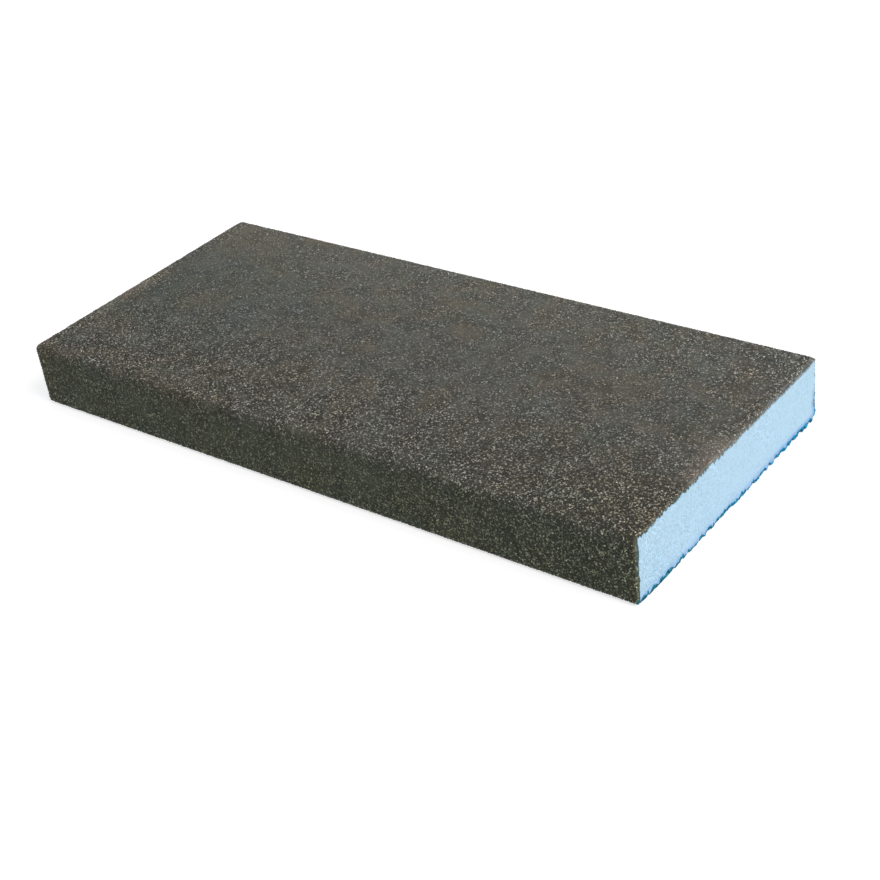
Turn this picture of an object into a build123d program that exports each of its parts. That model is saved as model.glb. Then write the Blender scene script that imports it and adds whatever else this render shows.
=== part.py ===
from build123d import *
import os

# Flat sanding sponge: a foam slab with an abrasive coat round its four long faces.
# Millimetres. +X runs along the slab, +Y across its width and +Z up through its thickness.
# The origin is the centre of the underside.

# Driving dimensions
sponge_length = 135.0  # between the two cut ends
sponge_width = 60.0  # outside the coat
sponge_thickness = 13.0  # outside the coat
coat_thickness = 0.5  # grit and binder together
foam_edge_radius = 0.6  # long edges of the bare foam

# The coat follows the foam, so its outside corners are rounder by its own thickness.
foam_width = sponge_width - 2 * coat_thickness
foam_thickness = sponge_thickness - 2 * coat_thickness
coat_edge_radius = foam_edge_radius + coat_thickness

# The section's plane stands at one cut end, with its middle at half the thickness.
cut_end = Plane.YZ.offset(-sponge_length / 2)
section_middle = (0, sponge_thickness / 2)

# Foam core: the slab as it is before coating, bare where it has been cut to length.
with BuildPart() as foam_core:
    with BuildSketch(cut_end):
        with Locations(section_middle):
            RectangleRounded(foam_width, foam_thickness, foam_edge_radius)
    extrude(amount=sponge_length)

# Abrasive coat: a band of even thickness round the foam, cut flush with it at both ends.
with BuildPart() as abrasive_coat:
    with BuildSketch(cut_end):
        with Locations(section_middle):
            RectangleRounded(sponge_width, sponge_thickness, coat_edge_radius)
            RectangleRounded(foam_width, foam_thickness, foam_edge_radius, mode=Mode.SUBTRACT)
    extrude(amount=sponge_length)

foam_core.part.label = "foam_core"
abrasive_coat.part.label = "abrasive_coat"

os.makedirs("parts", exist_ok=True)
export_step(foam_core.part, "parts/foam_core.step")
export_step(abrasive_coat.part, "parts/abrasive_coat.step")
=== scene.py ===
import math

import bpy
import numpy as np
from mathutils import Euler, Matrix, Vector, noise


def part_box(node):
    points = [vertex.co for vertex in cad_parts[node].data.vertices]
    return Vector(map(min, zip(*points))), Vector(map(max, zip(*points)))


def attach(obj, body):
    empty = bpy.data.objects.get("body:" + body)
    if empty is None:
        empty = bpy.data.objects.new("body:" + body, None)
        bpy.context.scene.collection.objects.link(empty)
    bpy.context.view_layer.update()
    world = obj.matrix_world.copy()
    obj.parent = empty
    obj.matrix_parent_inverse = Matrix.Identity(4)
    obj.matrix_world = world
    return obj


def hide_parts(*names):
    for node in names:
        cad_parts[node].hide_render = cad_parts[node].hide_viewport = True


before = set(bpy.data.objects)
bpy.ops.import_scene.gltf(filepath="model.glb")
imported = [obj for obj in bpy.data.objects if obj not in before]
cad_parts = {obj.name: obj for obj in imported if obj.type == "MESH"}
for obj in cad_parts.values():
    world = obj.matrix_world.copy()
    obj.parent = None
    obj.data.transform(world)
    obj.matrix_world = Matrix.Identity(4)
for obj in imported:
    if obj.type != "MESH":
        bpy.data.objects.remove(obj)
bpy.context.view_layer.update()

bl_info = {
    "name": "Sanding Sponge",
    "version": (1, 0, 0),
    "blender": (4, 5, 0),
    "location": "View3D > Sidebar > Sanding Sponge",
    "description": "Builds a flat sanding sponge: a foam slab in a coat of abrasive grit, open at both ends",
    "category": "Object",
}

MM = 0.001
COAT_LOW, COAT_HIGH = (Vector(corner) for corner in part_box("abrasive_coat"))
CORE_LOW, CORE_HIGH = (Vector(corner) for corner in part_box("foam_core"))
LENGTH, WIDTH, THICKNESS = COAT_HIGH - COAT_LOW
COAT_THICKNESS = COAT_HIGH.z - CORE_HIGH.z

# The four long faces, in the order that the section's outline is walked.
TOP, BACK, UNDER, FRONT = range(4)
FACE_NAMES = ("top", "back", "under", "front")
HIDDEN = -1

# Where the fine rings of the coat lie, counted in from a cut end.
NEAR_CUT = (0.15 * MM, 0.4 * MM, 0.7 * MM)
COARSE_START = 1.1 * MM
SHOULDER = 0.6 * MM
WALL_SUNK = 0.09 * MM
FOAM_SUNK = 0.04 * MM
LEAST_WALL = 0.06 * MM

# How far in from its rim the foam is stained by the glue, and gives way to the coat.
SEAM_WIDTH = 1.2 * MM
GIVE = 3.0 * MM

# The radius and the height of each kind of crystal, for a grain size of 1.
SHARDS = ((0.74, 0.44), (0.62, 0.60), (0.84, 0.36))

FLOOR_REACH = 3
AIM = Vector((17.9, -13.4, 6.5)) * MM
LAMP_PLACE = (1.48, -0.05, 1.50)
LAMP_SIZE = 1.2
SENSOR_WIDTH = 36


# ---------------------------------------------------------------- settings

class CoatSettings(bpy.types.PropertyGroup):
    """Sizes and colours of the abrasive coat."""

    edge_radius: bpy.props.FloatProperty(
        name="Edge Radius", description="Outside radius of the long edges",
        default=1.1 * MM, unit="LENGTH")
    cell: bpy.props.FloatProperty(
        name="Binder Cell", description="Spacing of the points that carry the binder's lumps",
        default=0.6 * MM, unit="LENGTH")
    cut_cell: bpy.props.IntProperty(
        name="Cut Cells", description="Points along the cut edge for each point further in",
        default=5, min=1)
    lump: bpy.props.FloatProperty(
        name="Lump Height", description="How far the binder's surface rises and falls",
        default=0.03 * MM, unit="LENGTH")
    grain: bpy.props.FloatProperty(
        name="Grain Size", description="Typical size of one abrasive crystal",
        default=0.265 * MM, unit="LENGTH")
    spacing: bpy.props.FloatProperty(
        name="Grain Spacing", description="Least distance between neighbouring crystals",
        default=0.31 * MM, unit="LENGTH")
    bed: bpy.props.FloatProperty(
        name="Grain Bed", description="How far the binder lies below the tips of the crystals",
        default=0.07 * MM, unit="LENGTH")
    chip: bpy.props.FloatProperty(
        name="Chips", description="Depth of the chips that the cut has knocked from the coat's outer edge",
        default=0.45 * MM, unit="LENGTH")
    roll: bpy.props.FloatProperty(
        name="Roll", description="How far the blade has pressed down the coat's edge where it went in",
        default=0.15 * MM, unit="LENGTH")
    drag: bpy.props.FloatProperty(
        name="Drag", description="How far the blade has dragged the coat over the foam where it went in",
        default=0.45 * MM, unit="LENGTH")
    torn: bpy.props.FloatProperty(
        name="Torn Depth", description="Depth of the deepest tears along the lower edge of a cut",
        default=1.45 * MM, unit="LENGTH")
    dark_grain: bpy.props.FloatVectorProperty(
        name="Dark Grain", description="Colour of the binder and the darkest crystals",
        subtype="COLOR", size=3, default=(0.010, 0.010, 0.008))
    pale_grain: bpy.props.FloatVectorProperty(
        name="Pale Grain", description="Colour of the palest crystals",
        subtype="COLOR", size=3, default=(0.73, 0.71, 0.655))
    dust: bpy.props.FloatVectorProperty(
        name="Dust", description="Colour of the dust that has settled between the grains",
        subtype="COLOR", size=3, default=(0.125, 0.123, 0.106))
    glue: bpy.props.FloatVectorProperty(
        name="Glue", description="Colour of the glue that shows where the coat is torn through",
        subtype="COLOR", size=3, default=(0.020, 0.30, 0.55))
    dark_glue: bpy.props.FloatVectorProperty(
        name="Dark Glue", description="Colour of the glue where the coat's dark binder has mixed with it",
        subtype="COLOR", size=3, default=(0.020, 0.185, 0.24))


class FoamSettings(bpy.types.PropertyGroup):
    """Sizes and colours of the foam core."""

    cell: bpy.props.FloatProperty(
        name="End Cell", description="Spacing of the points across a cut end",
        default=0.15 * MM, unit="LENGTH")
    pores: bpy.props.FloatProperty(
        name="Pore Density", description="Pores on each square millimetre of a cut end",
        default=2.4, min=0.0)
    pore_depth: bpy.props.FloatProperty(
        name="Pore Depth", description="Depth of the deepest pore",
        default=0.12 * MM, unit="LENGTH")
    foam: bpy.props.FloatVectorProperty(
        name="Foam", description="Colour of the cut foam",
        subtype="COLOR", size=3, default=(0.542, 0.772, 0.945))
    # The lilac is painted shade low down on a cut end, and glue along its rim.
    lilac: bpy.props.FloatVectorProperty(
        name="Lilac", description="The cast of the foam low down on a cut end",
        subtype="COLOR", size=3, default=(0.33, 0.55, 0.86))
    # Painted shade inside the pores.
    pore: bpy.props.FloatVectorProperty(
        name="Pore", description="Colour inside the pores",
        subtype="COLOR", size=3, default=(0.31, 0.56, 0.74))


class StageSettings(bpy.types.PropertyGroup):
    """The camera, lamps and floor."""

    azimuth: bpy.props.FloatProperty(
        name="Azimuth", description="Camera's turn round the sponge",
        default=math.radians(41.1), subtype="ANGLE")
    elevation: bpy.props.FloatProperty(
        name="Elevation", description="Camera's height above the floor",
        default=math.radians(32.4), subtype="ANGLE")
    roll: bpy.props.FloatProperty(
        name="Roll", description="Camera's tilt about its own line of sight",
        default=math.radians(-7.9), subtype="ANGLE")
    distance: bpy.props.FloatProperty(
        name="Distance", description="From the camera to the point that it looks at",
        default=290.0 * MM, unit="LENGTH")
    focal_length: bpy.props.FloatProperty(
        name="Focal Length", description="Lens, in millimetres on a 36 mm sensor",
        default=68.4, subtype="DISTANCE_CAMERA")
    sky: bpy.props.FloatProperty(
        name="Sky", description="Strength of the even light from all round", default=0.37)
    key: bpy.props.FloatProperty(
        name="Key Lamp", description="Power of the large lamp above the right-hand end",
        default=32.0, subtype="POWER")
    floor: bpy.props.FloatVectorProperty(
        name="Floor", description="Colour of the floor",
        subtype="COLOR", size=3, default=(0.52, 0.52, 0.52))


# ---------------------------------------------------------------- node trees

class Value:
    """A number in a node tree, so that maths on it reads as maths."""

    def __init__(self, tree, socket):
        self.tree = tree
        self.socket = socket

    def _math(self, operation, *operands):
        node = self.tree.node("ShaderNodeMath", {"operation": operation}, dict(enumerate(operands)))
        return Value(self.tree, node.outputs[0])

    def __add__(self, other):
        return self._math("ADD", self, other)

    __radd__ = __add__

    def __sub__(self, other):
        return self._math("SUBTRACT", self, other)

    def __rsub__(self, other):
        return self._math("SUBTRACT", other, self)

    def __mul__(self, other):
        return self._math("MULTIPLY", self, other)

    __rmul__ = __mul__

    def __truediv__(self, other):
        return self._math("DIVIDE", self, other)

    def __pow__(self, other):
        return self._math("POWER", self, other)

    def size(self):
        """This number without its sign."""
        return self._math("ABSOLUTE", self)

    def clamped(self):
        """This number kept between 0 and 1."""
        return self._math("MINIMUM", self._math("MAXIMUM", self, 0.0), 1.0)

    def step(self, low, high):
        """0 below low, 1 above high and a smooth rise between them."""
        node = self.tree.node(
            "ShaderNodeMapRange", {"interpolation_type": "SMOOTHSTEP"},
            {"Value": self, "From Min": low, "From Max": high})
        return Value(self.tree, node.outputs["Result"])


class Tree:
    """A node tree, and the one way that nodes get into it."""

    def __init__(self, tree):
        self.tree = tree

    def node(self, kind, settings=None, sockets=None):
        """A node of this kind, with its settings made first and then its sockets' values or links."""
        made = self.tree.nodes.new(kind)
        for name, setting in (settings or {}).items():
            setattr(made, name, setting)
        for name, content in (sockets or {}).items():
            self.feed(made.inputs[name], content)
        return made

    def feed(self, socket, content):
        """Links a socket to a Value or another socket, or sets it to a plain value."""
        if isinstance(content, Value):
            content = content.socket
        if isinstance(content, bpy.types.NodeSocket):
            self.tree.links.new(content, socket)
        else:
            socket.default_value = content

    def value(self, kind, output, settings=None, sockets=None):
        """One number that a new node gives."""
        return Value(self, self.node(kind, settings, sockets).outputs[output])

    def mix(self, factor, first, second, blend="MIX"):
        """One colour laid over another."""
        made = self.node("ShaderNodeMix", {"data_type": "RGBA", "blend_type": blend})
        colours = [socket for socket in made.inputs if socket.type == "RGBA"]
        self.feed(made.inputs[0], factor)
        self.feed(colours[0], first)
        self.feed(colours[1], second)
        return next(socket for socket in made.outputs if socket.type == "RGBA")


class Finish(Tree):
    """A material with one Principled shader, and patterns that read Object coordinates."""

    def __init__(self, name):
        self.material = bpy.data.materials.new(name)
        self.material.use_nodes = True
        super().__init__(self.material.node_tree)
        self.tree.nodes.clear()
        self.shader = self.node("ShaderNodeBsdfPrincipled")
        output = self.node("ShaderNodeOutputMaterial")
        self.tree.links.new(self.shader.outputs[0], output.inputs["Surface"])
        self.place = self.node("ShaderNodeTexCoord").outputs["Object"]
        self.along = self.value("ShaderNodeSeparateXYZ", "X", sockets={"Vector": self.place})
        self.across = self.value("ShaderNodeSeparateXYZ", "Y", sockets={"Vector": self.place})
        self.height = self.value("ShaderNodeSeparateXYZ", "Z", sockets={"Vector": self.place})

    def long_edge(self, inner, outer):
        """0 nearer the middle than the first distance and 1 beyond the second, towards either long edge."""
        return self.across.size().step(inner, outer)

    def stretched(self, *scale):
        """Object coordinates, scaled along each axis."""
        return self.node("ShaderNodeMapping", sockets={"Vector": self.place, "Scale": scale}).outputs[0]

    def noise(self, size, detail=2.0, roughness=0.5, place=None):
        """Smooth noise from 0 to 1, with lumps of about this size."""
        return self.value(
            "ShaderNodeTexNoise", 0, {"noise_dimensions": "3D"},
            {"Vector": place or self.place, "Scale": 1 / size, "Detail": detail, "Roughness": roughness})

    def cells(self, size, output, place=None):
        """Cells of about this size: the distance to their middles, or a random colour each."""
        return self.node(
            "ShaderNodeTexVoronoi", {"feature": "F1"},
            {"Vector": place or self.place, "Scale": 1 / size}).outputs[output]

    def channel(self, colour):
        """The first channel of a random colour, as a number."""
        return self.value("ShaderNodeSeparateColor", 0, sockets={"Color": colour})

    def bump(self, height, distance, strength=1.0):
        """A normal that follows a height."""
        sockets = {"Height": height, "Distance": distance, "Strength": strength}
        return self.node("ShaderNodeBump", sockets=sockets).outputs[0]

    def shade(self, **inputs):
        """Feeds the Principled shader's sockets, named with underscores for spaces."""
        for name, content in inputs.items():
            self.feed(self.shader.inputs[name.replace("_", " ")], content)
        return self.material


def rgba(colour):
    """A colour property as a socket's four numbers."""
    return (*colour, 1.0)


# ---------------------------------------------------------------- finishes

def weathering(finish):
    """Warm and cool casts that drift across the coat, and an olive painted shade on the upright sides, as a
    colour to multiply by.
    """
    along, across, height = finish.along, finish.across, finish.height
    warm = finish.noise(9 * MM, 6.0, 0.68).step(0.42, 0.66)
    cool = finish.noise(7 * MM, 6.0, 0.68, finish.stretched(1.0, -1.0, 1.0)).step(0.44, 0.68)
    # Handling has cooled the middle of one end, and worn the front of the other end warm.
    centre = 1 - finish.long_edge(WIDTH * 0.1, WIDTH * 0.42)
    handled = (-1 * along).step(LENGTH * 0.1, LENGTH * 0.35) * centre
    used = along.step(LENGTH * 0.1, LENGTH * 0.4) * (-1 * across).step(WIDTH * 0.05, WIDTH * 0.4)
    low = 1 - height.step(THICKNESS - 3.2 * MM, THICKNESS - 0.4 * MM)
    beside = finish.long_edge(WIDTH / 2 - 0.9 * MM, WIDTH / 2 - 0.1 * MM)
    casts = (
        (warm * 0.9, (1.09, 0.99, 0.86, 1.0)),
        (cool * 0.9, (0.92, 1.01, 1.01, 1.0)),
        (handled * 0.8, (0.86, 0.93, 0.93, 1.0)),
        (used * (1 - beside), (0.92, 0.90, 0.845, 1.0)),
        (beside * (-1 * along).step(0.0, LENGTH / 2), (0.88, 0.88, 0.88, 1.0)),
        ((-1 * across).step(0.0, WIDTH / 2), (1.0, 0.985, 0.95, 1.0)),
        # The upright sides are painted olive and darker, most of all low down: painted shade with a green
        # cast.
        (beside * (0.4 + 0.6 * low), (0.80, 0.93, 0.74, 1.0)))
    tint = (1.0, 1.0, 1.0, 1.0)
    for share, cast in casts:
        tint = finish.mix(share, tint, cast, "MULTIPLY")
    return tint


def grain_colour(finish, settings, tone):
    """The colour of a grain whose tone is 0 for the darkest and 1 for the palest."""
    pale = (tone ** 6.5) * 1.1 + (tone ** 22.0) * 0.95
    colour = finish.mix(pale.clamped(), rgba(settings.dark_grain), rgba(settings.pale_grain))
    # Dust evens out the grains in patches, and more of it away from the long edge that has been used.
    along, across = finish.along, finish.across
    right = along.step(LENGTH * 0.1, LENGTH * 0.45)
    near_cut = along.size()
    strip = near_cut.step(LENGTH / 2 - 5.0 * MM, LENGTH / 2 - 1.5 * MM)
    swept = 1 - 0.3 * strip
    used = right * (-1 * across).step(0.0, WIDTH * 0.3)
    centre = 1 - across.size().step(WIDTH * 0.08, WIDTH * 0.42)
    settled = finish.noise(4 * MM, 3.0).step(0.40, 0.64) * (0.25 - 0.2 * used)
    settled = (0.04 + 0.07 * centre + right * (0.04 + 0.08 * centre) + settled) * swept
    far_left = (-1 * along).step(0.0, LENGTH / 2) * across.step(-WIDTH * 0.2, WIDTH * 0.35)
    unused = across.step(-WIDTH * 0.8, WIDTH * 0.4) * 0.48 + far_left * 0.10
    unused = unused * (1 - 0.45 * right) * swept * finish.height.step(THICKNESS * 0.8, THICKNESS * 0.95)
    beside = finish.long_edge(WIDTH / 2 - 1.4 * MM, WIDTH / 2 - 0.4 * MM)
    unused = unused * (1 - 0.7 * beside)
    worn = beside * (0.25 - 0.12 * right) * (1 - 0.7 * across.step(0.0, WIDTH * 0.4))
    colour = finish.mix(settled + unused + worn, colour, rgba(settings.dust))
    # Handling and the cut have rubbed the coat pale and brownish in places along its cut edges.
    middle = 1 - (across + 0.12 * WIDTH).size().step(WIDTH * 0.05, WIDTH * 0.17)
    patch = (finish.noise(9 * MM, 2.0).step(0.5, 0.62) * 0.12 + middle * 0.9).clamped()
    rubbed = near_cut.step(LENGTH / 2 - 5.0 * MM, LENGTH / 2) * patch
    crumbs = near_cut.step(LENGTH / 2 - 0.7 * MM, LENGTH / 2)
    scraped = 1 - (across - 0.02 * WIDTH).size().step(WIDTH * 0.04, WIDTH * 0.14)
    colour = finish.mix(rubbed * 0.42, colour, (0.24, 0.205, 0.185, 1.0))
    colour = finish.mix(crumbs * 0.15, colour, (0.28, 0.265, 0.225, 1.0))
    # Across the width the coat is painted lighter towards its back long edge: painted light. The other terms
    # are random tone and the paler cut edges.
    coat_tone_and_light = 0.75 + 0.44 * finish.noise(4 * MM, 4.0) + 0.2 * across.step(0.0, WIDTH / 2) + 0.35 * crumbs
    coat_tone_and_light = coat_tone_and_light + 0.1 * rubbed + strip * (0.05 + 0.26 * scraped) + 0.03 * right
    colour = finish.mix(1.0, colour, coat_tone_and_light, "MULTIPLY")
    near_half = strip * (1 - across.step(0.0, WIDTH * 0.15))
    colour = finish.mix(near_half, colour, (1.02, 1.0, 0.95, 1.0), "MULTIPLY")
    return finish.mix(1.0, colour, weathering(finish), "MULTIPLY")


def binder_finish(settings):
    """The dark binder, with grit too fine to stand as separate crystals."""
    finish = Finish("grit_binder")
    tone = finish.channel(finish.cells(0.25 * MM, "Color"))
    middle = Value(finish, finish.cells(0.25 * MM, "Distance"))
    height = (1 - middle) * (0.4 + 0.6 * tone)
    return finish.shade(
        Base_Color=grain_colour(finish, settings, tone * 0.95), Roughness=0.85 - 0.3 * tone,
        Specular_IOR_Level=0.3, Normal=finish.bump(height, 0.14 * MM))


def grit_finish(settings):
    """Crystals, each of one tone, from near black to pale grey."""
    finish = Finish("grit_crystals")
    tone = finish.value("ShaderNodeAttribute", "Fac", {"attribute_name": "tone"})
    scratch = finish.noise(0.08 * MM, 2.0)
    # Each crystal is painted in small facets, some lighter and some darker at random: painted glints and
    # shade.
    painted_facet_light = finish.channel(finish.cells(0.15 * MM, "Color"))
    colour = finish.mix(1.0, grain_colour(finish, settings, tone), 0.35 + 1.35 * painted_facet_light, "MULTIPLY")
    return finish.shade(
        Base_Color=colour, Roughness=0.7 - 0.35 * tone,
        Specular_IOR_Level=0.35, Normal=finish.bump(scratch, 0.02 * MM))


def cut_finish(settings):
    """The coat where it is cut through: grit above, blue glue below, and a seam of glue next to the foam."""
    finish = Finish("grit_cut")
    tone = finish.channel(finish.cells(0.15 * MM, "Color"))
    clot = finish.channel(finish.cells(0.32 * MM, "Color"))
    smear = finish.noise(0.7 * MM, 3.0).step(0.52, 0.75)
    bluer = finish.across.step(-WIDTH * 0.45, WIDTH * 0.25)
    glue = finish.mix(bluer, rgba(settings.dark_glue), rgba(settings.glue))
    glue = finish.mix(1.0, glue, 0.15 + 1.7 * clot ** 1.7 + 0.4 * tone, "MULTIPLY")
    glue = finish.mix(smear * 0.65, glue, (0.20, 0.54, 0.76, 1.0))
    torn = finish.value("ShaderNodeAttribute", "Fac", {"attribute_name": "torn"})
    above = 1 - (torn + (finish.noise(2 * MM, 3.0) - 0.5) * 0.5).step(0.1, 0.6)
    colour = finish.mix(above * 0.85, glue, grain_colour(finish, settings, tone))
    # The seam is bright blue where the coat is torn. Where it is cut clean, it goes from dark teal to dusty.
    seam = finish.value("ShaderNodeAttribute", "Fac", {"attribute_name": "seam"}).step(0.0, 0.6)
    dusty = finish.across.step(-WIDTH * 0.15, WIDTH * 0.1)
    clean = finish.mix(dusty, (0.008, 0.15, 0.135, 1.0), (0.36, 0.36, 0.33, 1.0))
    seam_colour = finish.mix(above, (0.02, 0.30, 0.50, 1.0), clean)
    colour = finish.mix(seam * (0.55 + 0.4 * clot), colour, seam_colour)
    return finish.shade(
        Base_Color=colour, Roughness=0.95, Specular_IOR_Level=0.05, Normal=finish.bump(tone, 0.05 * MM))


def foam_finish(settings):
    """Pale cut foam, with its cells, its pores, a lilac painted shade low down on each end, and the rim
    stained blue by the glue along the torn edge of the coat.
    """
    finish = Finish("foam_cut")
    depth = finish.value("ShaderNodeAttribute", "Fac", {"attribute_name": "pore"})
    seam = finish.value("ShaderNodeAttribute", "Fac", {"attribute_name": "seam"})
    tall = finish.stretched(1.0, 1.0, 0.85)
    cell = finish.channel(finish.cells(0.2 * MM, "Color", place=tall))
    wall = Value(finish, finish.cells(0.2 * MM, "Distance", place=tall))
    crisp = (finish.noise(9 * MM, 2.0) - finish.across / (WIDTH * 2.5)).step(0.35, 0.75)
    cloud = finish.noise(4 * MM, 3.0).step(0.3, 0.75)
    # Low down on each end, above the torn edge of the coat, the foam is painted lilac and darker: painted
    # shade. Along the rim it is also stained by the glue.
    shade_and_glue_stain = 1 - (finish.height + 0.7 * MM * (cloud - 0.5)).step(CORE_LOW.z + 0.3 * MM, CORE_LOW.z + 1.8 * MM)
    low_shade = 1 - finish.height.step(CORE_LOW.z, CORE_LOW.z + 4.5 * MM)
    corners = finish.across.size().step(WIDTH * 0.1, WIDTH * 0.45)
    far = finish.across.step(0.0, WIDTH * 0.45)
    shade_and_glue_stain = shade_and_glue_stain * (0.25 + 0.4 * cloud + 0.2 * corners) + (seam ** 0.7) * 0.25 + (seam ** 0.4) * far * 1.2
    colour = finish.mix((shade_and_glue_stain + low_shade * 0.12).clamped(), rgba(settings.foam), rgba(settings.lilac))
    colour = finish.mix((seam ** 5.0) * (0.25 + 0.4 * far), colour, (0.10, 0.40, 0.66, 1.0))
    # The end is painted a little lighter towards the far side: painted light. The cloud and the cells are
    # random tone.
    shade = 0.98 + 0.04 * cloud + finish.across / (WIDTH * 30) + (cell - 0.5) * (0.13 + 0.34 * crisp)
    colour = finish.mix(1.0, colour, shade, "MULTIPLY")
    damp = finish.noise(5 * MM, 4.0).step(0.4, 0.7) * crisp
    colour = finish.mix(damp * 0.6, colour, (0.93, 0.98, 1.0, 1.0), "MULTIPLY")
    # The pores are painted darker and bluer inside: painted shade.
    colour = finish.mix(depth.clamped() * 0.5, colour, rgba(settings.pore))
    return finish.shade(
        Base_Color=colour, Roughness=0.85 + 0.1 * cloud, Normal=finish.bump(wall, 0.04 * MM, 0.7))


# ---------------------------------------------------------------- meshes

def new_object(name, points, faces, materials, smooth=False):
    """A mesh object with these points, faces and material slots."""
    mesh = bpy.data.meshes.new(name)
    mesh.from_pydata([tuple(point) for point in points], [], faces)
    for material in materials:
        mesh.materials.append(material)
    mesh.polygons.foreach_set("use_smooth", [smooth] * len(mesh.polygons))
    mesh.update()
    made = bpy.data.objects.new(name, mesh)
    bpy.context.scene.collection.objects.link(made)
    return made


def add_attribute(owner, name, values):
    """Gives each point of a mesh object a number for its material to read."""
    owner.data.attributes.new(name, "FLOAT", "POINT").data.foreach_set("value", values)


def section_outline(width, height, radius, step, split):
    """Walks a rounded rectangle centred on the origin: points, outward directions and faces, as arrays.

    Each flat and each corner has a whole number of steps, and each step is split into this many parts.
    """
    points, normals, sides = [], [], []
    half_width, half_height = width / 2, height / 2
    corner_steps = split * max(3, round(radius * math.pi / 2 / (step * 0.6)))
    # Seen from the +X end and turning clockwise, each flat runs from one corner's centre to the next.
    corners = [(-1, 1), (1, 1), (1, -1), (-1, -1)]
    for face in (TOP, BACK, UNDER, FRONT):
        start, end = corners[face], corners[(face + 1) % 4]
        outward = np.array([(0, 1), (1, 0), (0, -1), (-1, 0)][face], float)
        first = np.array([start[0] * (half_width - radius), start[1] * (half_height - radius)])
        last = np.array([end[0] * (half_width - radius), end[1] * (half_height - radius)])
        steps = split * max(1, round(np.linalg.norm(last - first) / step))
        for share in np.arange(steps) / steps:
            points.append(first + (last - first) * share + outward * radius)
            normals.append(outward)
            sides.append(face)
        start_angle = math.atan2(outward[1], outward[0])
        for turn in np.arange(corner_steps) / corner_steps:
            angle = start_angle - turn * math.pi / 2
            direction = np.array([math.cos(angle), math.sin(angle)])
            points.append(last + direction * radius)
            normals.append(direction)
            sides.append(face if turn < 0.5 else (face + 1) % 4)
    return np.array(points), np.array(normals), np.array(sides)


def drift(x, y, z, size, seed, octaves=3):
    """Seeded smooth noise, about -1 to 1, with lumps of this size."""
    place = Vector((x / size + 17.3 * seed, y / size - 9.1 * seed, z / size + 4.7 * seed))
    return noise.fractal(place, 1.0, 2.0, octaves)


def coat_skin(x, y, z, settings):
    """How far the binder's surface lies inside the coat's full size."""
    lump = drift(x, y, z, 1.7 * MM, 5) + 0.6 * drift(x, y, z, 0.6 * MM, 6, 2)
    return settings.bed + settings.lump * (1 - lump)


def tearing(y, z):
    """1 by the lower face, where the blade came out and tore the coat, and 0 well above it.

    The tears reach much higher up the far side than up the near one.
    """
    return min(1.0, max(0.0, 1.45 - (7.2 - 9.6 * y / WIDTH) * z / THICKNESS))


def uprightness(y, z):
    """1 on the two upright sides, 0 on the faces above and below, and a blend between them."""
    return min(1.0, max(0.0, (abs(y) - WIDTH / 2) / MM + 1.2)) * min(1.0, z / (1.5 * MM))


def chipping(end, y, z, settings):
    """How deep the chips along the lower edge of a cut end go, most of all at its far corner."""
    far = y / WIDTH + 0.5
    chips = max(0.0, 0.05 + 0.75 * far ** 3 + 1.7 * drift(end, y, z, 1.3 * MM, 9, 4))
    return settings.chip * (0.7 + 1.1 * far ** 2) * chips * tearing(y, z) * (1 - 0.7 * uprightness(y, z))


def cut_skin(end, y, z, settings, back=0.0):
    """How far the surface lies in at a cut end or a little back: pressed down above, chipped below."""
    near = max(0.0, 1 - back / (0.9 * MM))
    pressed = settings.roll * (1 + 0.4 * drift(end, y, z, 1.2 * MM, 14)) * (1 - tearing(y, z) ** 2)
    worn = near * (pressed + chipping(end, y, z, settings))
    return coat_skin(end * (LENGTH / 2 - back), y, z, settings) + worn


def cut_depth(end, y, z, settings):
    """How deep the coat reaches at a cut end: dragged down a little above, and torn into clumps below."""
    torn, upright, across, up = tearing(y, z), uprightness(y, z), y / WIDTH, z / THICKNESS
    # The tears go deepest by the corners. The drag grows towards the far side, and down the near upright.
    reach = 0.62 + (0.35 * across + 1.2 * across ** 2) * (1 - upright)
    clump = 0.45 + 0.5 * drift(end, y, z, 7 * MM, 4, 1) + 1.2 * drift(end, y, z, 2.0 * MM, 3, 2)
    clump = 0.55 + 0.7 * min(1.0, max(0.0, clump))
    torn_depth = settings.torn * reach * clump + chipping(end, y, z, settings)
    drag_above = (0.45 + 1.1 * min(1.0, max(0.0, (across + 0.2) / 0.4))) * max(0.0, 2 * up - 1)
    drag_beside = (0.5 - across) * (0.3 + 1.8 * up)
    dragged = settings.drag * (drag_above * (1 - upright) + drag_beside * upright)
    uneven = 0.8 * drift(end, y, z, 1.2 * MM, 1) + 1.1 * drift(end, y, z, 0.45 * MM, 2)
    uneven *= (1 - 0.5 * torn) * (1 - 0.5 * max(upright, 2 * across))
    centre = max(0.0, 1 - abs(across + 0.07) / 0.2) * (1 - torn)
    uneven = uneven * (1 + 0.7 * centre) + 0.9 * centre * drift(end, y, z, 0.3 * MM, 13, 2)
    usual = (COAT_THICKNESS * (1 - torn) + torn_depth * torn) * max(0.4, 1 + uneven)
    depth = max(cut_skin(end, y, z, settings) + LEAST_WALL, usual + dragged * (1 - torn))
    # Deep cuts level off, since round a corner they would fold over themselves.
    away = max(WIDTH / 2 - abs(y), THICKNESS / 2 - abs(z - THICKNESS / 2)) - settings.edge_radius
    deepest = settings.edge_radius - 0.05 * MM + 0.35 * min(1.0 * MM, max(0.0, away))
    return depth / (1 + (depth / deepest) ** 6) ** (1 / 6)


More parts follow.
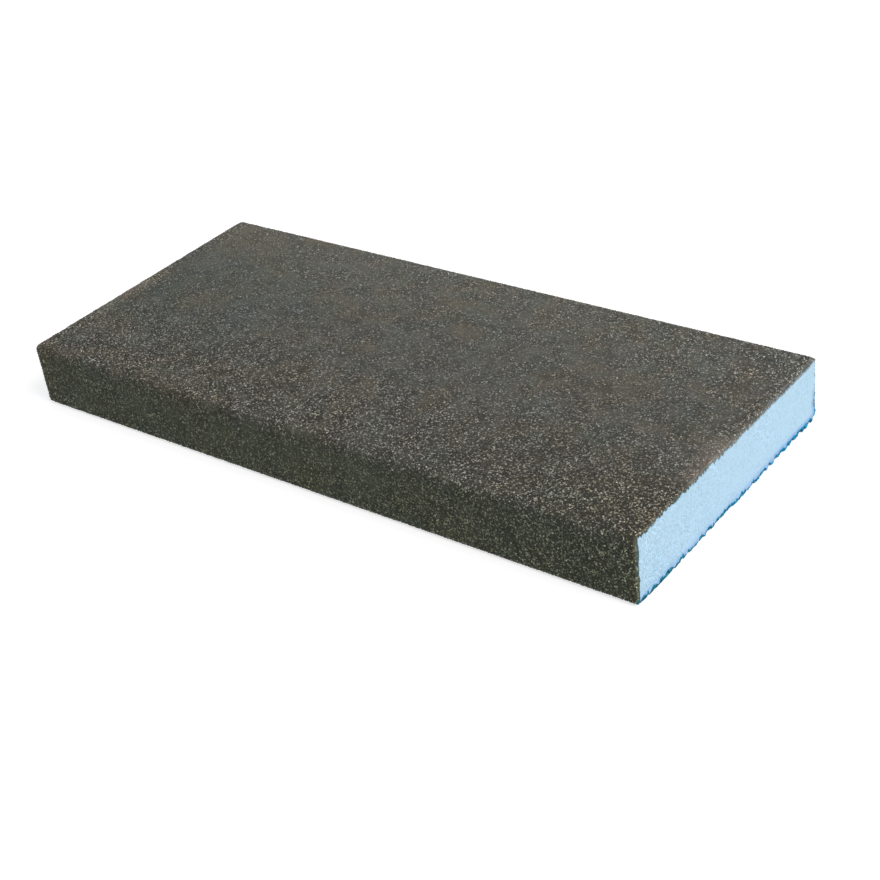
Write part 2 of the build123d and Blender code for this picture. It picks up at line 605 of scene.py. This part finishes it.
def build_coat(settings):
    """The sleeve of binder: lumpy outside, plain where the foam hides it, ragged at both cuts."""
    split = settings.cut_cell
    outline, normals, sides = section_outline(WIDTH, THICKNESS, settings.edge_radius, settings.cell, split)
    middle, half, fine = THICKNESS / 2, LENGTH / 2, len(outline)
    places = [(y, middle + z, ny, nz) for (y, z), (ny, nz) in zip(outline, normals)]
    points, rings = [], {}

    def add_ring(name, every, place):
        """A ring of points round the outline, each placed by its own point of the outline."""
        rings[name] = range(len(points), len(points) + len(places[::every]))
        points.extend(place(*spot) for spot in places[::every])

    def on_skin(x):
        return lambda y, z, ny, nz: inset((x, y, z), (ny, nz), coat_skin(x, y, z, settings))

    def near_rim(end, back):
        x = end * (half - back)
        return lambda y, z, ny, nz: inset((x, y, z), (ny, nz), cut_skin(end, y, z, settings, back))

    def on_rim(end):
        def place(y, z, ny, nz):
            tear = 0.15 * MM * (1 + drift(end, y, z, 0.5 * MM, 8))
            return inset((end * half - end * tear, y, z), (ny, nz), cut_skin(end, y, z, settings))
        return place

    def on_cut(end):
        def place(y, z, ny, nz):
            skin, wall = cut_skin(end, y, z, settings), cut_depth(end, y, z, settings)
            depth = skin + (wall - skin) * 0.6
            crumble = 0.12 * MM * (1 + drift(end, y, z, 0.35 * MM, 10))
            return inset((end * half - end * crumble, y, z), (ny, nz), depth)
        return place

    def on_wall(end):
        x = end * (half - WALL_SUNK)
        return lambda y, z, ny, nz: inset((x, y, z), (ny, nz), cut_depth(end, y, z, settings))

    def inside(x):
        return lambda y, z, ny, nz: inset((x, y, z), (ny, nz), COAT_THICKNESS)

    # Outside, from the low end to the high end: fine rings by each cut and coarse ones between.
    add_ring("rim -1", 1, on_rim(-1))
    order = ["rim -1"]
    for back in NEAR_CUT:
        order.append(f"skin -1 {back}")
        add_ring(order[-1], 1, near_rim(-1, back))
    span = half - COARSE_START
    for x in np.linspace(-span, span, round(2 * span / settings.cell) + 1):
        order.append(f"skin {x}")
        add_ring(order[-1], split, on_skin(x))
    for back in reversed(NEAR_CUT):
        order.append(f"skin 1 {back}")
        add_ring(order[-1], 1, near_rim(1, back))
    add_ring("rim 1", 1, on_rim(1))
    order.append("rim 1")
    outer = len(order)
    add_ring("cut 1", 1, on_cut(1))
    add_ring("wall 1", 1, on_wall(1))
    add_ring("inside 1", 1, inside(half - SHOULDER))
    add_ring("inside -1", 1, inside(-half + SHOULDER))
    add_ring("wall -1", 1, on_wall(-1))
    add_ring("cut -1", 1, on_cut(-1))
    order += ["cut 1", "wall 1", "inside 1", "inside -1", "wall -1", "cut -1"]

    faces, face_sides, slots = [], [], []
    cut_rings = [{f"rim {end}", f"cut {end}", f"wall {end}"} for end in (-1, 1)]
    edge_rings = [{f"rim {end}", f"cut {end}"} for end in (-1, 1)]
    for row, (here, after) in enumerate(zip(order, order[1:] + order[:1])):
        band = stitch(rings[here], rings[after])
        faces += band
        cells = split if len(band) < fine else 1
        cut = any({here, after} <= names for names in cut_rings)
        on_edge = {here, after} in edge_rings
        at_rim = row < 2 or outer - 3 <= row < outer - 1
        # Crystals cover the outside and the cut itself, but not where it is torn and the glue shows.
        for k in range(0, len(band) * cells, cells):
            tear = tearing(*places[k][:2])
            torn = tear > 0.9
            outside = row < outer - 1 and not (at_rim and torn)
            gritty = outside or on_edge and tear < 0.1
            face_sides.append(int(sides[k]) if gritty else HIDDEN)
            slots.append(int(cut or at_rim and torn))
    finishes = [binder_finish(settings), cut_finish(settings)]
    coat = new_object("coat_band", points, faces, finishes, smooth=True)
    coat.data.polygons.foreach_set("material_index", slots)
    coat.data.polygons.foreach_set("use_smooth", [not slot for slot in slots])
    side = coat.data.attributes.new("side", "INT", "FACE")
    side.data.foreach_set("value", face_sides)
    seams = np.zeros(len(points))
    for end in (-1, 1):
        seams[rings[f"wall {end}"]] = 1.0
    add_attribute(coat, "seam", seams)
    add_attribute(coat, "torn", [tearing(y, z) for _, y, z in points])
    return coat


def inset(place, direction, depth):
    """A point moved straight in from the section's outline."""
    x, y, z = place
    return x, y - direction[0] * depth, z - direction[1] * depth


def stitch(near, far):
    """Faces between two closed rings, where either may have several points for each one of the other."""
    faces = []
    steps = min(len(near), len(far))
    near_split, far_split = len(near) // steps, len(far) // steps
    for k in range(steps):
        near_points = [near[(k * near_split + part) % len(near)] for part in range(near_split + 1)]
        far_points = [far[(k * far_split + part) % len(far)] for part in range(far_split + 1)]
        faces.append((*near_points, *reversed(far_points)))
    return faces


def square_to_round(y, z, half_width, half_height, radius):
    """Moves a point of a rectangle into the rounded one of the same size."""
    reach_y, reach_z = abs(y) - (half_width - radius), abs(z) - (half_height - radius)
    if reach_y <= 0 or reach_z <= 0:
        return y, z
    shrink = max(reach_y, reach_z) / math.hypot(reach_y, reach_z)
    return (math.copysign(half_width - radius + reach_y * shrink, y),
            math.copysign(half_height - radius + reach_z * shrink, z))


def straight_out(y, z, half_width, half_height, radius):
    """The direction straight out of a rounded rectangle, from a point near its edge."""
    reach_y, reach_z = abs(y) - (half_width - radius), abs(z) - (half_height - radius)
    if reach_y > 0 and reach_z > 0:
        length = math.hypot(reach_y, reach_z)
        return math.copysign(reach_y / length, y), math.copysign(reach_z / length, z)
    if abs(y) - half_width > abs(z) - half_height:
        return math.copysign(1.0, y), 0.0
    return 0.0, math.copysign(1.0, z)


def pore_field(settings, ys, zs, seed):
    """How deep each point of an end's grid lies in a pore, from 0 to 1."""
    random = np.random.default_rng(seed)
    depth = np.zeros((len(ys), len(zs)))
    width, height = ys[-1] - ys[0], zs[-1] - zs[0]
    for _ in range(int(settings.pores * width * height / MM ** 2)):
        at_y, at_z = random.uniform(ys[0], ys[-1]), random.uniform(zs[0], zs[-1])
        across, tall = random.uniform(0.08, 0.2) * MM, random.uniform(0.1, 0.35) * MM
        strength = random.uniform(0.2, 1.0) ** 2
        near_y = np.flatnonzero(abs(ys - at_y) < across * 2)
        near_z = np.flatnonzero(abs(zs - at_z) < tall * 2)
        if len(near_y) and len(near_z):
            far = ((ys[near_y, None] - at_y) / across) ** 2 + ((zs[None, near_z] - at_z) / tall) ** 2
            window = np.ix_(near_y, near_z)
            depth[window] = np.maximum(depth[window], strength * np.exp(-far))
    return depth


def build_foam(settings, coat):
    """The foam slab: two pored ends, and sides that lie against the inside of the coat."""
    size = CORE_HIGH - CORE_LOW
    half_width, half_height, half = size.y / 2, size.z / 2, LENGTH / 2
    middle = THICKNESS / 2
    radius = coat.edge_radius - COAT_THICKNESS
    ys = np.linspace(-half_width, half_width, round(size.y / settings.cell) + 1)
    zs = np.linspace(-half_height, half_height, round(size.z / settings.cell) + 1)
    columns, rows = len(ys), len(zs)
    rim = [(i, 0) for i in range(columns)]
    rim += [(columns - 1, j) for j in range(1, rows)]
    rim += [(i, rows - 1) for i in range(columns - 2, -1, -1)]
    rim += [(0, j) for j in range(rows - 2, 0, -1)]
    points, faces, pores, seams, borders = [], [], [], [], []

    def seat(end, flat_y, flat_z):
        """How far a point of an end's rim moves to lie against the cut edge of the coat."""
        y, z = square_to_round(flat_y, flat_z, half_width, half_height, radius)
        ny, nz = straight_out(y, z, half_width, half_height, radius)
        wall = cut_depth(end, y + ny * COAT_THICKNESS, middle + z + nz * COAT_THICKNESS, coat)
        return np.array((ny, nz)) * (COAT_THICKNESS - wall)

    for end in (-1, 1):
        depth = pore_field(settings, ys, zs, 40 + end)
        base = len(points)
        beside = {side: [seat(end, side * half_width, flat_z) for flat_z in zs] for side in (-1, 1)}
        above = {side: [seat(end, flat_y, side * half_height) for flat_y in ys] for side in (-1, 1)}
        for i, flat_y in enumerate(ys):
            for j, flat_z in enumerate(zs):
                y, z = square_to_round(flat_y, flat_z, half_width, half_height, radius)
                edge = max(abs(flat_y) - half_width, abs(flat_z) - half_height) + SEAM_WIDTH
                seams.append(tearing(y, middle + z) * (max(0.0, edge) / SEAM_WIDTH) ** 2)
                # Near the edge the foam gives way to the coat, or swells where the coat is thin.
                side_y, side_z = (1 if flat_y > 0 else -1), (1 if flat_z > 0 else -1)
                pull_y = max(0.0, 1 - (half_width - abs(flat_y)) / GIVE)
                pull_z = max(0.0, 1 - (half_height - abs(flat_z)) / GIVE)
                corner = beside[side_y][-1 if side_z > 0 else 0]
                push = pull_y * beside[side_y][j] + pull_z * above[side_z][i] - pull_y * pull_z * corner
                y, z = y + push[0], z + push[1]
                rough = drift(end, y, z, 0.6 * MM, 12, 3) * 0.02 * MM
                sunk = settings.pore_depth * depth[i, j] + FOAM_SUNK + rough
                points.append((end * (half - sunk), y, middle + z))
                pores.append(depth[i, j])
        for i in range(columns - 1):
            for j in range(rows - 1):
                a = base + i * rows + j
                quad = (a, a + rows, a + rows + 1, a + 1)
                faces.append(quad if end > 0 else quad[::-1])
        borders.append([base + i * rows + j for i, j in rim])
        shoulder = len(points)
        for i, j in rim:
            y, z = square_to_round(ys[i], zs[j], half_width, half_height, radius)
            points.append((end * (half - SHOULDER), y, middle + z))
            pores.append(0.0)
            seams.append(0.0)
        borders.append(list(range(shoulder, len(points))))
    low, low_shoulder, high, high_shoulder = borders
    for near, far in ((low, low_shoulder), (low_shoulder, high_shoulder), (high_shoulder, high)):
        faces += [face[::-1] for face in stitch(near, far)]
    foam = new_object("foam_slab", points, faces, [foam_finish(settings)], smooth=True)
    add_attribute(foam, "pore", pores)
    add_attribute(foam, "seam", seams)
    return foam


# ---------------------------------------------------------------- grit

def grit_tree(settings, material):
    """Geometry nodes that bed crystals in the faces of one side and keep only the crystals."""
    group = bpy.data.node_groups.new("scatter_grit", "GeometryNodeTree")
    for name, kind, default in (
            ("Geometry", "NodeSocketGeometry", None),
            ("Side", "NodeSocketInt", TOP),
            ("Grain Size", "NodeSocketFloat", settings.grain),
            ("Spacing", "NodeSocketFloat", settings.spacing),
            ("Seed", "NodeSocketInt", 1),
            ("Low Corner", "NodeSocketVector", (-1, -1, -1)),
            ("High Corner", "NodeSocketVector", (1, 1, 1))):
        socket = group.interface.new_socket(name, in_out="INPUT", socket_type=kind)
        if default is not None:
            socket.default_value = default
    group.interface.new_socket("Geometry", in_out="OUTPUT", socket_type="NodeSocketGeometry")
    tree = Tree(group)
    given = tree.node("NodeGroupInput").outputs
    side = tree.node("GeometryNodeInputNamedAttribute", {"data_type": "INT"}, {"Name": "side"})
    chosen = tree.node(
        "FunctionNodeCompare", {"data_type": "INT", "operation": "EQUAL"},
        {2: side.outputs["Attribute"], 3: given["Side"]})
    spread = tree.node(
        "GeometryNodeDistributePointsOnFaces", {"distribute_method": "POISSON"},
        {"Mesh": given["Geometry"], "Selection": chosen.outputs[0], "Distance Min": given["Spacing"],
         "Density Max": 40 / MM ** 2, "Seed": given["Seed"]})
    shards = tree.node("GeometryNodeJoinGeometry")
    for radius, depth in SHARDS:
        cone = tree.node(
            "GeometryNodeMeshCone", {"fill_type": "NGON"},
            {"Vertices": 3, "Radius Top": 0.0, "Radius Bottom": radius, "Depth": depth})
        sunk = tree.node(
            "GeometryNodeTransform",
            sockets={"Geometry": cone.outputs["Mesh"], "Translation": (0, 0, -depth * 0.6)})
        single = tree.node("GeometryNodeGeometryToInstance", sockets={"Geometry": sunk.outputs[0]})
        tree.feed(shards.inputs[0], single.outputs[0])
    tilt = tree.node(
        "FunctionNodeRandomValue", {"data_type": "FLOAT_VECTOR"},
        {0: (-0.4, -0.4, -math.pi), 1: (0.4, 0.4, math.pi), "Seed": given["Seed"]}).outputs[0]
    tilt = tree.node("FunctionNodeEulerToRotation", sockets={0: tilt})
    turn = tree.node(
        "FunctionNodeRotateRotation", {"rotation_space": "LOCAL"},
        {0: spread.outputs["Rotation"], 1: tilt.outputs[0]})
    stretch = tree.node(
        "FunctionNodeRandomValue", {"data_type": "FLOAT_VECTOR"},
        {0: (0.6, 0.6, 0.7), 1: (1.25, 1.25, 1.3), "Seed": 3}).outputs[0]
    tone = Value(tree, tree.node("FunctionNodeRandomValue", {"data_type": "FLOAT"}, {"Seed": 7}).outputs[1])
    size = (0.97 + 0.06 * tone ** 4.0) * given["Grain Size"]
    scale = tree.node("ShaderNodeVectorMath", {"operation": "SCALE"}, {0: stretch, "Scale": size})
    placed = tree.node(
        "GeometryNodeInstanceOnPoints",
        sockets={"Points": spread.outputs["Points"], "Instance": shards.outputs[0], "Pick Instance": True,
                 "Rotation": turn.outputs[0], "Scale": scale.outputs[0]})
    toned = tree.node(
        "GeometryNodeStoreNamedAttribute", {"data_type": "FLOAT", "domain": "INSTANCE"},
        {"Geometry": placed.outputs[0], "Name": "tone", "Value": tone})
    real = tree.node("GeometryNodeRealizeInstances", sockets={"Geometry": toned.outputs[0]})
    # The outermost tips are worn flat, so none of them stands out of the coat's own size.
    place = tree.node("GeometryNodeInputPosition").outputs[0]
    above = tree.node("ShaderNodeVectorMath", {"operation": "MAXIMUM"}, {0: place, 1: given["Low Corner"]})
    between = tree.node(
        "ShaderNodeVectorMath", {"operation": "MINIMUM"}, {0: above.outputs[0], 1: given["High Corner"]})
    worn = tree.node(
        "GeometryNodeSetPosition", sockets={"Geometry": real.outputs[0], "Position": between.outputs[0]})
    finished = tree.node(
        "GeometryNodeSetMaterial", sockets={"Geometry": worn.outputs[0], "Material": material})
    tree.feed(tree.node("NodeGroupOutput").inputs[0], finished.outputs[0])
    return group


def scatter_grit(coat, group, name, inputs):
    """One side's crystals as a plain mesh of their own."""
    bed = bpy.data.objects.new(name, coat.data.copy())
    bpy.context.scene.collection.objects.link(bed)
    modifier = bed.modifiers.new("grit", "NODES")
    modifier.node_group = group
    sockets = {item.name: item.identifier for item in group.interface.items_tree if item.in_out == "INPUT"}
    for input_name, content in inputs.items():
        modifier[sockets[input_name]] = content
    graph = bpy.context.evaluated_depsgraph_get()
    mesh = bpy.data.meshes.new_from_object(bed.evaluated_get(graph), depsgraph=graph)
    bed.modifiers.remove(modifier)
    old, bed.data = bed.data, mesh
    bpy.data.meshes.remove(old)
    mesh.name = name
    return bed


# ---------------------------------------------------------------- operators

def piece(name):
    """A finished piece, which a later step builds on."""
    found = bpy.data.objects.get(name)
    if found is None:
        raise RuntimeError(f"{name} has not been built yet")
    return found


class SPONGE_OT_coat(bpy.types.Operator):
    """Builds the sleeve of binder that carries the grit"""

    bl_idname = "sanding_sponge.coat"
    bl_label = "Coat"

    def execute(self, context):
        coat = build_coat(context.scene.sponge_coat)
        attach(coat, "root")
        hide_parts("abrasive_coat")
        return {"FINISHED"}


class SPONGE_OT_grit(bpy.types.Operator):
    """Scatters abrasive crystals over the four long faces"""

    bl_idname = "sanding_sponge.grit"
    bl_label = "Grit"

    def execute(self, context):
        settings = context.scene.sponge_coat
        group = grit_tree(settings, grit_finish(settings))
        for face, face_name in enumerate(FACE_NAMES):
            grit = scatter_grit(
                piece("coat_band"), group, f"grit_{face_name}",
                {"Side": face, "Seed": 11 + face, "Low Corner": COAT_LOW, "High Corner": COAT_HIGH})
            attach(grit, "root")
        return {"FINISHED"}


class SPONGE_OT_foam(bpy.types.Operator):
    """Builds the foam slab with its pored, cut ends"""

    bl_idname = "sanding_sponge.foam"
    bl_label = "Foam"

    def execute(self, context):
        foam = build_foam(context.scene.sponge_foam, context.scene.sponge_coat)
        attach(foam, "root")
        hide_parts("foam_core")
        return {"FINISHED"}


class SPONGE_OT_stage(bpy.types.Operator):
    """Sets up the floor, the lamps and the camera"""

    bl_idname = "sanding_sponge.stage"
    bl_label = "Stage"

    def execute(self, context):
        build_stage(context.scene, context.scene.sponge_stage)
        return {"FINISHED"}


def build_stage(scene, settings):
    """A pale floor, an even sky, one large soft lamp and the camera."""
    scene.view_settings.view_transform = "Standard"
    corners = [(x * FLOOR_REACH, y * FLOOR_REACH, 0) for x, y in ((-1, -1), (1, -1), (1, 1), (-1, 1))]
    floor = new_object("floor", corners, [(0, 1, 2, 3)], [floor_finish(settings)])
    world = bpy.data.worlds.new("studio")
    scene.world = world
    world.use_nodes = True
    sky = Tree(world.node_tree)
    sky.tree.nodes.clear()
    seen = see_through(sky)
    strength = settings.sky + (1 - settings.sky) * seen
    background = sky.node("ShaderNodeBackground", sockets={"Color": (1, 1, 1, 1), "Strength": strength})
    sky.feed(sky.node("ShaderNodeOutputWorld").inputs["Surface"], background.outputs[0])
    add_lamp("key", settings.key, LAMP_PLACE, LAMP_SIZE)
    camera = bpy.data.objects.new("camera", bpy.data.cameras.new("camera"))
    scene.collection.objects.link(camera)
    azimuth, elevation = settings.azimuth, settings.elevation
    back = Vector((math.sin(azimuth) * math.cos(elevation), -math.cos(azimuth) * math.cos(elevation),
                   math.sin(elevation)))
    camera.location = AIM + back * settings.distance
    upright = (-back).to_track_quat("-Z", "Y")
    camera.rotation_euler = (upright.to_matrix() @ Euler((0, 0, settings.roll)).to_matrix()).to_euler()
    camera.data.lens = settings.focal_length
    camera.data.sensor_width = SENSOR_WIDTH
    camera.data.clip_start, camera.data.clip_end = 0.01, 20
    scene.camera = camera


def see_through(tree):
    """1 for what the camera sees directly, in a reflection or through glass."""
    path = tree.node("ShaderNodeLightPath")
    names = ("Is Camera Ray", "Is Glossy Ray", "Is Transmission Ray")
    direct, mirrored, through = (Value(tree, path.outputs[name]) for name in names)
    return (direct + mirrored + through).clamped()


def floor_finish(settings):
    """A pale floor that goes to white away from the sponge and keeps its soft shadow."""
    finish = Finish("floor")
    distance = finish.value("ShaderNodeVectorMath", "Value", {"operation": "LENGTH"}, {0: finish.place})
    glow = finish.mix(distance.step(0.3, 1.5), (0.69, 0.69, 0.69, 1), (1, 1, 1, 1))
    glow = finish.mix(see_through(finish), (0, 0, 0, 1), glow)
    return finish.shade(
        Base_Color=rgba(settings.floor), Roughness=0.9, Emission_Color=glow, Emission_Strength=1.0)


def add_lamp(name, power, place, size):
    """A square area lamp that faces the sponge."""
    light = bpy.data.lights.new(name, "AREA")
    light.energy = power
    light.size = size
    lamp = bpy.data.objects.new(name, light)
    bpy.context.scene.collection.objects.link(lamp)
    lamp.location = place
    lamp.rotation_euler = (-Vector(place)).to_track_quat("-Z", "Y").to_euler()


# ---------------------------------------------------------------- add-on

class SPONGE_PT_sidebar(bpy.types.Panel):
    """Lists the steps that build the sanding sponge"""

    bl_idname = "SPONGE_PT_sidebar"
    bl_label = "Sanding Sponge"
    bl_space_type = "VIEW_3D"
    bl_region_type = "UI"
    bl_category = "Sanding Sponge"

    def draw(self, context):
        for operator in STEPS:
            self.layout.operator(operator.bl_idname)


STEPS = (SPONGE_OT_coat, SPONGE_OT_grit, SPONGE_OT_foam, SPONGE_OT_stage)
GROUPS = {"sponge_coat": CoatSettings, "sponge_foam": FoamSettings, "sponge_stage": StageSettings}


def register():
    for group_name, group in GROUPS.items():
        bpy.utils.register_class(group)
        setattr(bpy.types.Scene, group_name, bpy.props.PointerProperty(type=group))
    for operator in (*STEPS, SPONGE_PT_sidebar):
        bpy.utils.register_class(operator)


def unregister():
    for operator in (SPONGE_PT_sidebar, *reversed(STEPS)):
        bpy.utils.unregister_class(operator)
    for group_name, group in GROUPS.items():
        delattr(bpy.types.Scene, group_name)
        bpy.utils.unregister_class(group)


def main():
    register()
    bpy.ops.sanding_sponge.coat()
    bpy.ops.sanding_sponge.grit()
    bpy.ops.sanding_sponge.foam()
    bpy.ops.sanding_sponge.stage()


if __name__ == "__main__":
    main()
